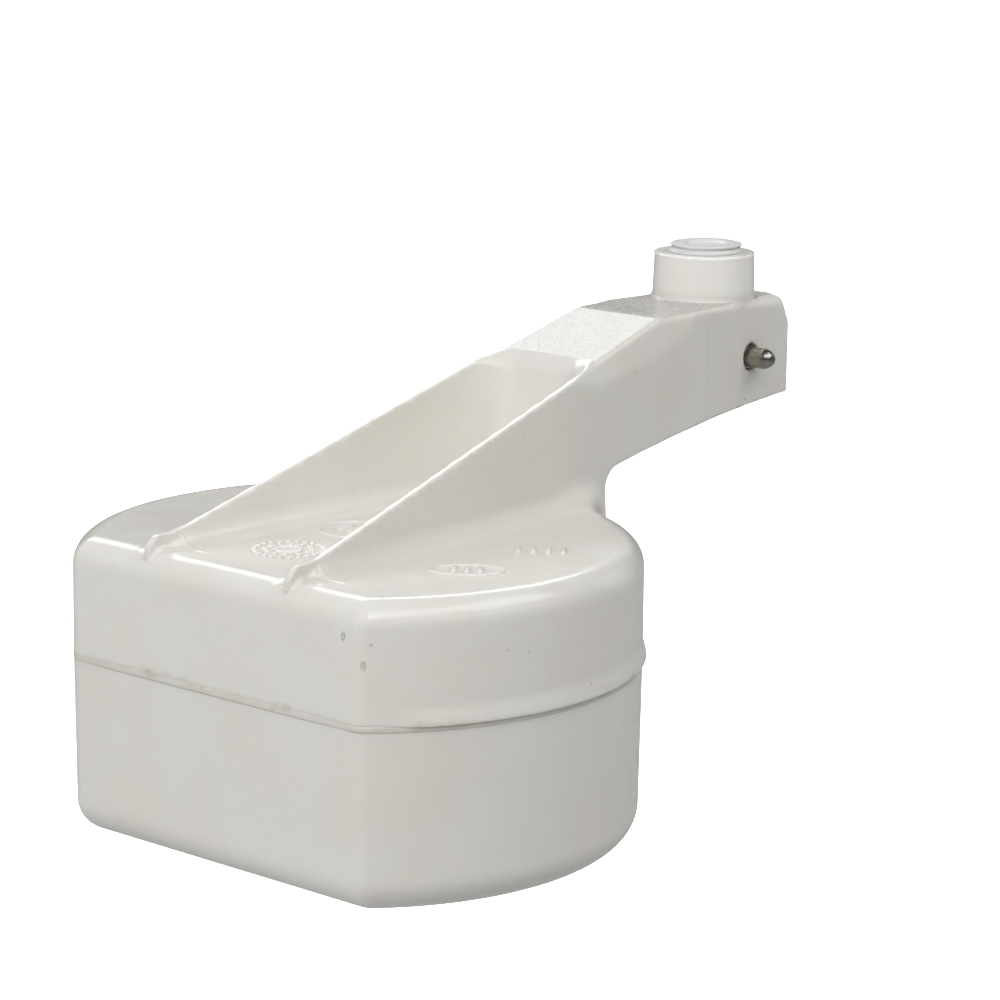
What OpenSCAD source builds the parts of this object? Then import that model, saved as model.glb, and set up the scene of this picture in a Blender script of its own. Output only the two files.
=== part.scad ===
// Float for a trough valve: hollow two-part float, sloping arm with side wings, hinge block,
// round boss with a push-in seal, and a stainless hinge pin.
// X points from the float to the hinge, Z points up, the origin is on the underside of the float
// below the centre of its round wall.

/* [Float] */
// Radius of the round wall at the seam
body_r = 50; // [50]
// Distance from the round wall's centre to the flat front face
flat_x = 36.8; // [36.8]
// Height of the float
body_h = 53.4; // [50:0.2:58]
// Height of the weld seam
seam_z = 32.5; // [26:0.5:36]
// Rounding along the top edge
top_round = 4.6; // [3:0.1:8]
// Rounding along the bottom edge
bottom_round = 6.1; // [4:0.1:9]
// Rounding of the two upright corners
corner_round = 3; // [2.9:0.1:3.1]
// Wall thickness of both halves
wall_t = 2.2; // [1.8:0.1:3]
// Draft of the lower wall in degrees
draft_low = 0.6; // [0:0.1:1.5]
// Draft of the upper wall in degrees
draft_up = 0.2; // [0:0.1:1]
// How far the upper half's lip stands out at the seam
lip_out = 0.7; // [0.4:0.1:1.2]
// Height of that lip
lip_h = 3.6; // [2:0.2:5]

/* [Arm] */
// Half width of the arm at the float's centre
arm_half = 15.3; // [14:0.1:17]
// Half width lost for each millimetre toward the hinge
arm_taper = 0.0532; // [0.04:0.001:0.06]
// Height of the wing edge where its straight run starts
wing_z = 56.4; // [55:0.2:58]
// Distance of that point in front of the float's centre
wing_x = 28.3; // [26:0.1:30]
// Height of the flat top of the hinge block
block_z = 84.6; // [82:0.2:88]
// Where the slope meets the flat top
slope_end_x = 71; // [66:0.5:76]
// End of the hinge block
block_end_x = 114.3; // [112:0.1:118]
// Underside of the hinge block
block_low_z = 64.9; // [62:0.1:67]
// Rear face of the post that stands on the float
post_x = 53.4; // [52.5:0.1:55]
// Thickness of the wings
wing_t = 1.3; // [1:0.1:2]
// Where the trough between the wings ends, at the top
trough_end_x = 50; // [46:0.5:52]
// Rounding along the arm's long top edges
arm_round = 4; // [2:0.5:5]
// Rounding where the arm meets the float
root_round = 4; // [2:0.5:6]

/* [Hinge] */
// Distance from the float's centre to the pin
pin_x = 101.1; // [98:0.1:104]
// Height of the pin's centre
pin_z = 73.4; // [71:0.1:76]
// Radius of the pin's free ends
pin_r = 2; // [1.5:0.25:2.25]
// How far the pin's middle, which turns in the bore, stands out from its ends
pin_step = 0.25; // [0.2:0.05:0.3]
// Length of the pin
pin_len = 30; // [28:0.5:36]
// Running gap between the pin's middle and the bore
pin_gap = 0.05; // [0.02:0.01:0.1]
// Radius of the wider mouth at each end of the bore
mouth_r = 2.7; // [2.7:0.1:3.2]
// Depth of that mouth
mouth_depth = 2; // [1:0.5:4]

/* [Boss and seal] */
// Distance from the float's centre to the boss
boss_x = 98.1; // [96:0.1:100]
// Radius of the boss at its top
boss_top_r = 9.6; // [9:0.1:11]
// Radius of the boss at its foot
boss_foot_r = 10; // [9.2:0.1:11.5]
// Height of the boss top
boss_z = 93.4; // [90:0.2:97]
// Radius of the seal's collar
seal_r = 7.3; // [6.5:0.1:8]
// Radius of the seal's top disc
disc_r = 6.9; // [6:0.1:7.5]
// Height of the seal's top face
seal_z = 95.1; // [94.5:0.1:99]
// Radius of the seal's stem
stem_r = 4; // [3:0.5:5]
// Depth of the seal pocket
pocket_depth = 6; // [4:0.5:7]

/* [Hidden] */
$fn = 96;
steps = 10;
eps = 0.01;
arm_slope = (block_z - wing_z) / (slope_end_x + wing_x);
slope_deg = atan(arm_slope);
taper_deg = atan(arm_taper);
inset_low = tan(draft_low) * (seam_z - bottom_round);
inset_up = tan(draft_up) * (body_h - top_round - seam_z);
inner_r_low = bottom_round - wall_t;
inner_r_up = max(top_round - wall_t, 0.5);
rim_t = 1.2;
rim_h = 2;
rim_gap = 0.1;
flash_h = 0.8;
flash_in = 0.6;
flash_out = 0.25;
neck_end_x = 84;
core_wall = 2.6;
collar_z = boss_z + 0.5;
disc_t = 0.5;
dish_r = 3.8;
dish_depth = 0.4;
pin_chamfer = 0.8;
shoulder_y = arm_half - arm_taper * pin_x - 0.6;
bore_r = pin_r + pin_step + pin_gap;
block_corner = 2;

// Half width of the arm at a given X
function half_w(x) = arm_half - arm_taper * x;

// Height of the sloping edge at a given X
function slope_z(x) = wing_z + arm_slope * (x + wing_x);

// Rows of [height, inset] that describe the lower wall, pushed inward by t
function low_rows(t, r) = concat(
    [for (i = [0 : steps]) [t + r - r * cos(90 * i / steps), t + inset_low + r - r * sin(90 * i / steps)]],
    [[seam_z, t]]
);

// Rows of [height, inset] that describe the upper wall, pushed inward by t
function up_rows(t, r) = concat(
    [[seam_z, t]],
    [for (i = [0 : steps])
        [body_h - t - r + r * sin(90 * i / steps), t + inset_up + r - r * cos(90 * i / steps)]]
);

// Plan corners between the flat and the round wall, cut back to a radius
module corner_cutter(r, f, c) {
    cx = -(f - c);
    cy = sqrt((r - c) * (r - c) - cx * cx);
    d = [cx, cy] / norm([cx, cy]);
    m = ([-1, 0] + d) / norm([-1, 0] + d);
    for (s = [0, 1]) {
        mirror([0, s]) difference() {
            polygon([[cx, cy], [cx - 2 * c, cy], [cx, cy] + 3 * c * m, [cx, cy] + 2 * c * d]);
            translate([cx, cy]) circle(r = c, $fn = 48);
        }
    }
}

// A round solid with one flat face, built from rows of [height, inset]
module d_solid(rows) {
    first = rows[0];
    last = rows[len(rows) - 1];
    t = min([for (q = rows) q[1]]);
    intersection() {
        rotate_extrude($fn = 128) {
            polygon(concat([[0, first[0]]], [for (q = rows) [body_r - q[1], q[0]]], [[0, last[0]]]));
        }
        rotate([90, 0, 0]) {
            linear_extrude(height = 2 * body_r + 4, center = true) {
                polygon(concat(
                    [[body_r + 2, first[0]]],
                    [for (q = rows) [q[1] - flat_x, q[0]]],
                    [[body_r + 2, last[0]]]
                ));
            }
        }
        translate([0, 0, first[0]]) {
            linear_extrude(height = last[0] - first[0]) {
                difference() {
                    circle(r = body_r, $fn = 128);
                    corner_cutter(body_r - t, flat_x - t, max(corner_round - t, 0.8));
                }
            }
        }
    }
}

// Hollow inside the lower half, open upward
module low_hollow() {
    d_solid(concat(low_rows(wall_t, inner_r_low), [[seam_z + 5, wall_t]]));
}

// Hollow inside the upper half, open downward
module up_hollow() {
    d_solid(concat([[seam_z - 5, wall_t]], up_rows(wall_t, inner_r_up)));
}

// Plan of the arm between two X values, t in from each side
module arm_plan(x0, x1, t) {
    polygon([
        [x0, -half_w(x0) + t],
        [x1, -half_w(x1) + t],
        [x1, half_w(x1) - t],
        [x0, half_w(x0) - t]
    ]);
}

// Side view of the arm with its wings, post, neck and hinge block
module arm_side() {
    foot = 5.5;
    difference() {
        polygon([
            [-35.2, body_h - 6],
            [-35.2, wing_z - 2.8],
            [-34.8, wing_z - 1.9],
            [-33.9, wing_z - 1.0],
            [-32.4, wing_z - 0.35],
            [-30.4, wing_z - 0.1],
            [-wing_x, wing_z],
            [slope_end_x, block_z],
            [block_end_x, block_z],
            [block_end_x, block_low_z - 0.1],
            [neck_end_x, block_low_z],
            [59.2, block_low_z - foot + 0.2],
            [post_x + 2.4, block_low_z - foot - 1],
            [post_x + 0.9, block_low_z - foot - 2.2],
            [post_x, block_low_z - foot - 4.4],
            [post_x, seam_z],
            [body_r - 4, seam_z],
            [body_r - 4, body_h - 6]
        ]);
        translate([block_end_x - arm_round, block_z - arm_round]) {
            difference() {
                square(arm_round + 1);
                circle(r = arm_round);
            }
        }
    }
}

// Sharp corner outside one rounded long edge
module edge_section() {
    difference() {
        translate([-arm_round, -arm_round]) square([arm_round + 3, arm_round + 3]);
        translate([-arm_round, -arm_round]) circle(r = arm_round, $fn = 48);
    }
}

// Long top edge of the closed part of the arm, along its taper, first sloping and then level
module edge_cutter() {
    translate([slope_end_x, half_w(slope_end_x), block_z]) rotate([0, 0, -taper_deg]) {
        rotate([90, 0, 90]) {
            translate([0, 0, -1]) linear_extrude(height = 60) edge_section();
        }
        rotate([0, -slope_deg, 0]) rotate([90, 0, 90]) {
            translate([0, 0, -26]) linear_extrude(height = 27) edge_section();
        }
    }
}

// Space between the wings, ending in a wall that leans back and has rounded corners
module trough() {
    low_x = trough_end_x - 7;
    corner = 6;
    intersection() {
        rotate([90, 0, 0]) {
            linear_extrude(height = 60, center = true) {
                polygon([
                    [-60, body_h],
                    [low_x, body_h],
                    [trough_end_x, slope_z(trough_end_x)],
                    [trough_end_x + 1.4, slope_z(trough_end_x + 1.4) + 0.1],
                    [trough_end_x + 1.4, block_z + 20],
                    [-60, block_z + 20]
                ]);
            }
        }
        translate([0, 0, body_h - 1]) linear_extrude(height = 60) {
            arm_plan(-60, trough_end_x - corner, wing_t);
            arm_plan(-60, trough_end_x - corner * 0.4, wing_t + 1.2);
            translate([trough_end_x - corner, 0]) {
                for (s = [-1, 1]) {
                    translate([0, s * (half_w(trough_end_x) - wing_t - corner)]) {
                        circle(r = corner + 0.1, $fn = 48);
                    }
                }
            }
            arm_plan(0, trough_end_x + 1.4, corner + wing_t);
        }
    }
}

// Soft fillet along the foot of one wing, outside the arm, fading out at both ends
module root_fillet() {
    r = root_round;
    x0 = -wing_x - 3;
    x1 = body_r - top_round;
    difference() {
        translate([0, arm_half, body_h]) rotate([0, 0, -taper_deg]) rotate([90, 0, 90]) {
            translate([0, 0, x0]) linear_extrude(height = x1 - x0) {
                difference() {
                    translate([-0.5, -0.8]) square([r + 0.5, r + 0.8]);
                    translate([r + 0.2, r + 0.2]) circle(r = r, $fn = 48);
                }
            }
        }
        rotate([90, 0, 0]) linear_extrude(height = 60, center = true) {
            polygon([[x0 - 3, body_h - 0.5], [x0 + 8, body_h + r + 1], [x0 - 3, body_h + r + 1]]);
            polygon([[x1 + 2, body_h - 0.5], [x1 + 2, body_h + r + 1], [x1 - 5, body_h + r + 1]]);
        }
    }
}

// Outer form of the upper half without any hollow
module upper_outer() {
    d_solid(up_rows(0, top_round));
    difference() {
        rotate_extrude($fn = 128) {
            polygon([
                [body_r - 1, seam_z],
                [body_r + lip_out, seam_z],
                [body_r + lip_out, seam_z + 0.8],
                [body_r + lip_out * 0.55, seam_z + lip_h * 0.5],
                [body_r - 0.1, seam_z + lip_h],
                [body_r - 1, seam_z + lip_h]
            ]);
        }
        translate([-2 * body_r - flat_x + 1.5, -body_r - 5, seam_z - 1]) {
            cube([2 * body_r, 2 * body_r + 10, lip_h + 2]);
        }
    }
    difference() {
        intersection() {
            rotate([90, 0, 0]) linear_extrude(height = 60, center = true) arm_side();
            linear_extrude(height = block_z + 1) arm_plan(-36, block_end_x, 0);
        }
        for (s = [0, 1]) {
            mirror([0, s, 0]) {
                edge_cutter();
                block_corner_cutter();
            }
        }
        trough();
    }
    root_fillet();
    mirror([0, 1, 0]) root_fillet();
}

// Upright corner at the end of the hinge block
module block_corner_cutter() {
    c = block_corner;
    translate([block_end_x - c, half_w(block_end_x) - c, block_low_z - 1]) {
        linear_extrude(height = 25) {
            difference() {
                square(c + 2);
                circle(r = c, $fn = 48);
            }
        }
    }
}

// Pocket under the neck, between the post and the solid hinge block
module neck_pocket() {
    intersection() {
        rotate([90, 0, 0]) {
            linear_extrude(height = 60, center = true) {
                polygon([
                    [post_x + 3.2, body_h - 5],
                    [post_x + 3.2, 62],
                    [post_x + 0.4, slope_z(post_x) - core_wall],
                    [slope_end_x - 1, block_z - core_wall - 0.3],
                    [neck_end_x, block_z - core_wall - 0.3],
                    [neck_end_x, body_h - 5]
                ]);
            }
        }
        linear_extrude(height = block_z) arm_plan(post_x - 2, neck_end_x + 2, core_wall);
    }
}

// Hollow that runs from the float up into the post
module post_core() {
    low_x = trough_end_x - 7 + core_wall;
    intersection() {
        rotate([90, 0, 0]) {
            linear_extrude(height = 60, center = true) {
                polygon([
                    [low_x, body_h - wall_t - 2],
                    [post_x - core_wall, body_h - wall_t - 2],
                    [post_x - core_wall, body_h + 9],
                    [low_x + 3.2, body_h + 9],
                    [low_x, body_h - wall_t]
                ]);
            }
        }
        linear_extrude(height = block_z) arm_plan(body_r - 10, post_x, core_wall + 1);
        cylinder(r = post_x - core_wall, h = block_z);
    }
}

// Round boss with a soft foot
module boss() {
    foot = 1.2;
    translate([boss_x, 0, 0]) {
        translate([0, 0, block_z - 1]) {
            cylinder(r1 = boss_foot_r, r2 = boss_top_r, h = boss_z - block_z + 1);
        }
        intersection() {
            rotate_extrude() {
                difference() {
                    translate([boss_foot_r - 1, block_z - 0.5]) square([foot + 1, foot + 0.5]);
                    translate([boss_foot_r + foot, block_z + foot]) circle(r = foot, $fn = 48);
                }
            }
            cube([60, 2 * half_w(boss_x), 2 * block_z + 8], center = true);
        }
    }
}

// Upper half of the float with the arm and everything moulded to it
module upper_shell() {
    color("#e9e7e1") difference() {
        union() {
            upper_outer();
            boss();
        }
        up_hollow();
        post_core();
        neck_pocket();
        translate([boss_x, 0, boss_z - pocket_depth]) cylinder(r = stem_r, h = pocket_depth + 1);
        translate([boss_x, 0, boss_z - 1.2]) cylinder(r = seal_r - 1.3, h = 3);
        translate([pin_x, 0, pin_z]) rotate([90, 0, 0]) {
            cylinder(r = bore_r, h = 40, center = true);
        }
        for (s = [-1, 1]) {
            translate([pin_x, s * (half_w(pin_x) - mouth_depth), pin_z]) rotate([-s * 90, 0, 0]) {
                cylinder(r = mouth_r, h = mouth_depth + 3);
            }
        }
    }
}

// Lower pan of the float, with a locating rim that stands up inside the upper half
module lower_shell() {
    color("#e4e1da") {
        difference() {
            d_solid(low_rows(0, bottom_round));
            low_hollow();
            flash_groove(0);
        }
        difference() {
            d_solid([
                [seam_z - 3, wall_t - 0.2],
                [seam_z, wall_t - 0.2],
                [seam_z, wall_t + rim_gap],
                [seam_z + rim_h, wall_t + rim_gap]
            ]);
            translate([0, 0, -1]) d_solid([[seam_z - 8, wall_t + rim_t], [seam_z + rim_h + 3, wall_t + rim_t]]);
            rim_underside();
        }
    }
}

// Sloping underside that lets the locating rim grow out of the wall
module rim_underside() {
    d_solid([[seam_z - 6, wall_t - 1], [seam_z - 3 + eps, wall_t - 1], [seam_z - 3 + eps + rim_t, wall_t + rim_t]]);
}

// Ring that the squeezed-out plastic fills
module flash_groove(out) {
    difference() {
        d_solid([[seam_z - flash_h, -out], [seam_z, -out]]);
        d_solid([[seam_z - flash_h - 1, flash_in], [seam_z + 1, flash_in]]);
    }
}

// Thin line of plastic squeezed out of the weld
module weld_flash() {
    color("#d9d2c4") flash_groove(flash_out);
}

// Push-in seal: stem, collar, neck and a thin top disc with a shallow dish
module valve_seal() {
    color("#d8dbd9") translate([boss_x, 0, 0]) rotate_extrude() {
        polygon([
            [0, boss_z - pocket_depth + 0.5],
            [stem_r - 0.4, boss_z - pocket_depth + 0.5],
            [stem_r, boss_z - pocket_depth + 0.9],
            [stem_r, boss_z - 1.2],
            [seal_r - 1.3, boss_z - 1.2],
            [seal_r - 1.3, boss_z],
            [seal_r, boss_z],
            [seal_r, collar_z],
            [disc_r - 0.5, seal_z - disc_t - 0.1],
            [disc_r, seal_z - disc_t],
            [disc_r, seal_z - 0.1],
            [disc_r - 0.1, seal_z],
            [dish_r + 0.4, seal_z],
            [dish_r, seal_z - dish_depth],
            [0, seal_z - dish_depth]
        ]);
    }
}

// Stainless pin with blunt ends and a thicker middle that stops just inside the mouths of the bore
module hinge_pin() {
    color("#9f9a91") translate([pin_x, 0, pin_z]) rotate([90, 0, 0]) {
        cylinder(r = pin_r, h = pin_len - 2 * pin_chamfer, center = true);
        cylinder(r = pin_r + pin_step, h = 2 * shoulder_y, center = true);
        for (s = [0, 1]) {
            mirror([0, 0, s]) translate([0, 0, pin_len / 2 - pin_chamfer]) {
                cylinder(r1 = pin_r, r2 = pin_r - pin_chamfer, h = pin_chamfer);
            }
        }
    }
}

upper_shell();
lower_shell();
weld_flash();
valve_seal();
hinge_pin();
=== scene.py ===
import math

import bpy
import numpy as np
from mathutils import Matrix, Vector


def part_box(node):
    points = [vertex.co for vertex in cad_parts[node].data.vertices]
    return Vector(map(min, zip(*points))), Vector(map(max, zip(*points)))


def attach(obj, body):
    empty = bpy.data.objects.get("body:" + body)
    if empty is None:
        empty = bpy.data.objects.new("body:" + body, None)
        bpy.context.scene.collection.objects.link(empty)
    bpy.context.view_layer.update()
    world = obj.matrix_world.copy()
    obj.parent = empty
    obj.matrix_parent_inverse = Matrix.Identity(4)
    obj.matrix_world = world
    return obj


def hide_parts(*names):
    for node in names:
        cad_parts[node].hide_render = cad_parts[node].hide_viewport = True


# The float valve's visible pieces: the moulded upper shell with its arm, the lower pan, the weld
# bead, the push-in seal, the hinge pin and the raised mould marks. Shapes are worked out in
# millimetres in the CAD frame and turned into metres when a mesh is made.

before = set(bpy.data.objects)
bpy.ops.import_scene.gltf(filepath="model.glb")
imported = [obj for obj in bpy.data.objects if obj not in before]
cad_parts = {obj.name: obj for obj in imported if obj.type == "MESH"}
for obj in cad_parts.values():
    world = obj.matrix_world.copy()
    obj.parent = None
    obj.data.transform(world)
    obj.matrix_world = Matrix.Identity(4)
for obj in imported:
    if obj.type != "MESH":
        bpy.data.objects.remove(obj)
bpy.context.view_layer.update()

MM = 0.001
FLOOR_Z = -0.065  # metres; low enough for the float to clear it at the bottom of its swing


def node_box(name):
    """Lowest and highest corner of a CAD node, in millimetres."""
    low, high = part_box(name)
    return np.array(low) / MM, np.array(high) / MM


upper_low, upper_high = node_box("upper_shell")
lower_low, lower_high = node_box("lower_shell")
seal_low, seal_high = node_box("valve_seal")
pin_low, pin_high = node_box("hinge_pin")

# Float
body_r = lower_high[1]
flat_x = -lower_low[0]
seam_z = upper_low[2]
body_h = 53.4
top_round = 4.6
bottom_round = 6.1
corner_r = 4.2
wall_t = 2.2
draft_low = math.tan(math.radians(0.6))
draft_up = math.tan(math.radians(0.2))
lip_out = upper_high[1] - body_r - 0.05
lip_h = 3.8
front_sink = 0.12

# Arm
arm_half = 15.3
arm_taper = 0.0532
block_z = 84.6
block_end_x = upper_high[0]
block_low_z = 64.9
slope_end_x = 71.0
wing_x = 28.3
wing_z = 56.4
arm_slope = (block_z - wing_z) / (slope_end_x + wing_x)
post_x = 53.4
wing_t = 1.25
trough_end_x = 50.0
trough_lean = 0.28
foot_x = 35.6
neck_x = 59.2
neck_z = 59.6
neck_slope = 0.2137

# Boss, seal and pin
boss_x = (seal_low[0] + seal_high[0]) / 2
boss_z = upper_high[2]
boss_r = 9.6
boss_lean = 0.04
seal_r = (seal_high[0] - seal_low[0]) / 2
pin_x = (pin_low[0] + pin_high[0]) / 2
pin_z = (pin_low[2] + pin_high[2]) / 2
pin_reach = pin_high[1]
pin_r = 2.0
pin_mid_r = (pin_high[0] - pin_low[0]) / 2
shoulder_y = 9.32
mouth_r = 2.7
mouth_depth = 2.0
stem_r = 4.0
collar_r = 6.0
collar_depth = 1.2
disc_r = 6.9


# ---------------------------------------------------------------- solids as distances

def meet(a, b, r):
    """Where two solids overlap, with the edge between them rounded to radius r."""
    return np.minimum(-r, np.maximum(a, b)) + np.hypot(np.maximum(r + a, 0), np.maximum(r + b, 0))


def join(a, b, r):
    """Two solids as one, with the inner corner between them filled to radius r."""
    return -meet(-a, -b, r)


def cut(a, b, r):
    """Solid a without solid b, with the edge between them rounded to radius r."""
    return meet(a, -b, r)


def fade(v, low, high):
    """0 below low, 1 above high and smooth between."""
    t = np.clip((v - low) / (high - low), 0, 1)
    return t * t * (3 - 2 * t)


def half_w(x):
    """Half width of the arm."""
    return arm_half - arm_taper * x


def slope_z(x):
    """Height of the arm's sloping edge."""
    return wing_z + arm_slope * (x + wing_x)


def plan_distance(x, y, r, f, c):
    """How far a point lies outside a circle of radius r with one flat side at -f and corners c."""
    cx = -(f - c)
    cy = np.sqrt((r - c) ** 2 - cx**2)
    ay = np.abs(y)
    beside = (ay > cy) & (cx * (ay - cy) - cy * (x - cx) > 0)
    return np.where(beside, np.hypot(x - cx, ay - cy) - c, np.maximum(np.hypot(x, y) - r, -x - f))


def front_hollow(y, z):
    """How far the front face has sunk in as it cooled."""
    return front_sink * (1 - np.clip(y / 34, -1, 1) ** 2) * fade(z, 2, 18) * fade(body_h - z, 2, 14)


def upper_float(x, y, z):
    """The upper half of the float, with the lip that stands out above the seam on the round side."""
    inset = draft_up * (z - seam_z)
    lip = np.cos(math.pi * np.clip((z - seam_z) / lip_h, 0, 1)) * 0.5 + 0.5
    lip = lip * lip_out * fade(x, -flat_x + 2.5, -flat_x + 9)
    front = flat_x - inset - front_hollow(y, z)
    return meet(plan_distance(x, y, body_r - inset + lip, front, corner_r), z - body_h, top_round)


def float_hollow(x, y, z):
    """The space inside the float."""
    wall = plan_distance(x, y, body_r - wall_t, flat_x - wall_t, 2.0)
    return meet(wall, z - (body_h - wall_t), 2.4)


def edge_radius(x, z):
    """Rounding of the arm's long top edges: crisp on the wings, soft on the block."""
    places = (43, 50, 76, 84, 96, 106, block_end_x)
    along = np.interp(x, places, (0.18, 0.6, 0.8, 0.9, 1.6, 2.4, 2.6))
    upright = fade(x, 103, 106) * (1 - fade(z, 78, 82))
    return along + (0.5 - along) * upright


def bevel(side, top, x):
    """The long flat band that runs down each top edge of the slope."""
    depth_places = (43, 50.8, 57, 63, 70, 76, 79, 82)
    depth = np.interp(x, depth_places, (0.02, 4.3, 4.9, 5.8, 6.4, 5.1, 3.4, 0.05))
    inset = np.interp(x, (43, 50.8, 60, 70, 76, 82), (0.02, 1.5, 1.5, 1.4, 1.1, 0.05))
    return (side * depth + top * inset + inset * depth) / np.hypot(inset, depth)


def arm_outside(x, y, z):
    """The arm before it is hollowed: wings, slope, hinge block and the post over the float."""
    recess = 0.12 * fade(x, 85.8, 86.2)
    side = np.abs(y) - half_w(x) + recess
    slope = (z - slope_z(x)) / math.hypot(1, arm_slope)
    top = meet(join(slope, z - wing_z + 0.1, 0.8), z - block_z, 0.6)
    top = meet(top, -foot_x - x, 3.2)
    top = meet(top, x - block_end_x, 4.0)
    on_bevel = fade(x, 44, 52) * (1 - fade(x, 76, 82))
    shape = meet(side, bevel(side, top, x), 0.1 + 0.15 * on_bevel)
    shape = meet(shape, top, edge_radius(x, z) + 0.5 * on_bevel)
    under_slope = (neck_z + neck_slope * (x - neck_x) - z) / math.hypot(1, neck_slope)
    under = join(under_slope, block_low_z - z, 8.0)
    return meet(shape, join(x - post_x, under, 3.5), 0.5)


def trough(x, y, z):
    """Space between the wings, ending in a wall that leans back and has rounded corners."""
    wing = wing_t + 0.02 * np.clip(slope_z(x) - z, 0, 30)
    end = (x - trough_end_x - trough_lean * (z - 78.5)) / math.hypot(1, trough_lean)
    return meet(np.abs(y) - half_w(x) + wing, end, 7.0)


def neck_pocket(x, y, z):
    """Pocket under the neck, between the post and the hinge block."""
    roof = z - np.minimum(slope_z(x), block_z) + 2.9
    ends = meet(post_x + 3.0 - 0.18 * (z - 62) - x, x - 84.0, 1.5)
    return meet(meet(np.abs(y) - half_w(x) + 2.6, roof, 1.5), ends, 1.5)


def boss(x, y, z):
    """The round boss, wider at its foot, with a burr at its rim; its root stays inside the block."""
    burr = 0.14 * np.exp(-(((z - boss_z + 0.2) / 0.35) ** 2))
    wall = np.hypot(x - boss_x, y) - boss_r - boss_lean * (boss_z - z) - burr
    past_side = np.abs(y) - half_w(x) + 1.1
    sunk = np.maximum(block_z - 2 - z, np.where(z < block_z - 1.0, past_side, -50))
    return np.maximum(meet(wall, z - boss_z, 0.25), sunk)


def seal_pocket(x, y, z):
    """The stepped hole in the boss for the seal's stem and collar."""
    rad = np.hypot(x - boss_x, y)
    stem = np.maximum(rad - stem_r, boss_z - 6.0 - z)
    return np.minimum(stem, np.maximum(rad - collar_r, boss_z - collar_depth - z))


def pin_bore(x, y, z):
    """The cross bore for the pin, wider at both mouths."""
    rad = np.hypot(x - pin_x, z - pin_z)
    mouth = np.maximum(rad - mouth_r, half_w(pin_x) - mouth_depth - np.abs(y))
    return np.minimum(rad - pin_mid_r - 0.05, mouth)


def foot_marks(x, y, z):
    """Height of the mould line beside each wing's foot and of the lumpy skin in front of it."""
    side = np.abs(np.abs(y) - half_w(x) + 0.6)
    near = fade(side, 0.5, 1.2) * (1 - fade(side, 5.0, 8.0)) * fade(z, 51.0, 52.5)
    line = 0.16 * np.exp(-(((x + wing_x) / 0.32) ** 2))
    lumps = np.sin(2.1 * x + 1.2 * y) * np.sin(1.9 * y + 0.9 * z + 1.0)
    in_front = 1 - fade(x, -wing_x - 1.2, -wing_x - 0.4)
    skin = (0.1 + 0.08 * lumps) * in_front * (1 - fade(side, 3.0, 5.0))
    return near * (line + skin)


def upper_shell(x, y, z):
    """The whole upper moulding: float half, arm and boss, less its bores, pocket and hollow."""
    arm = cut(arm_outside(x, y, z), trough(x, y, z), 0.18 + 2.6 * fade(x, 43, 50))
    arm = cut(arm, neck_pocket(x, y, z), 0.4)
    arm = join(arm, boss(x, y, z), 0.9)
    right_of_wing = y < np.sign(y) * (half_w(x) - wing_t / 2)
    foot_root = np.where(right_of_wing, 1.5, 0.7)
    root = foot_root + (3.8 - foot_root) * fade(x, -31.5, -27) + 3.0 * fade(x, 34, 50)
    root = root * (0.25 + 0.75 * fade(x, -36.4, -33.5))
    solid = join(upper_float(x, y, z), arm, root) - foot_marks(x, y, z)
    solid = cut(solid, pin_bore(x, y, z), 0.2)
    solid = cut(solid, seal_pocket(x, y, z), 0.15)
    notch_x = 99.4
    notch_y = half_w(notch_x)
    notch = np.sqrt((x - notch_x) ** 2 + (np.abs(y) - notch_y) ** 2 + (z - block_low_z) ** 2) - 0.55
    solid = cut(solid, notch, 0.1)
    solid = meet(solid, seam_z - z, 0.3)
    return np.maximum(solid, -float_hollow(x, y, z))


# ---------------------------------------------------------------- meshing

def steps(*stops):
    """Grid lines from (place, spacing) pairs; each spacing holds up to the next place."""
    lines = []
    for (start, gap), (end, _) in zip(stops, stops[1:]):
        count = max(1, round((end - start) / gap))
        lines.extend(np.linspace(start, end, count, endpoint=False))
    lines.append(stops[-1][0])
    return np.array(lines)


def gradient(solid, p, h=0.02):
    """Unit normals of a solid's surface at points p."""
    out = np.empty_like(p)
    for axis in range(3):
        ahead = p.copy()
        behind = p.copy()
        ahead[:, axis] += h
        behind[:, axis] -= h
        out[:, axis] = solid(*ahead.T) - solid(*behind.T)
    return out / np.maximum(np.linalg.norm(out, axis=1, keepdims=True), 1e-12)


def crossings(solid, values, lines, axis):
    """Grid edges along one axis that pass through the surface: index, sign and crossing point."""
    start = [slice(None)] * 3
    end = [slice(None)] * 3
    start[axis] = slice(None, -1)
    end[axis] = slice(1, None)
    inside = values < 0
    idx = np.argwhere(inside[tuple(start)] != inside[tuple(end)])
    far = idx.copy()
    far[:, axis] += 1
    a = np.stack([lines[k][idx[:, k]] for k in range(3)], axis=1)
    b = np.stack([lines[k][far[:, k]] for k in range(3)], axis=1)
    fa = values[tuple(idx.T)].astype(float)
    fb = values[tuple(far.T)].astype(float)
    leaving = fa < 0
    for _ in range(4):
        t = np.clip(fa / (fa - fb), 0.02, 0.98)
        p = a + (b - a) * t[:, None]
        fp = solid(*p.T)
        same = (fp < 0) == (fa < 0)
        a[same] = p[same]
        fa[same] = fp[same]
        b[~same] = p[~same]
        fb[~same] = fp[~same]
    return idx, leaving, p


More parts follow.
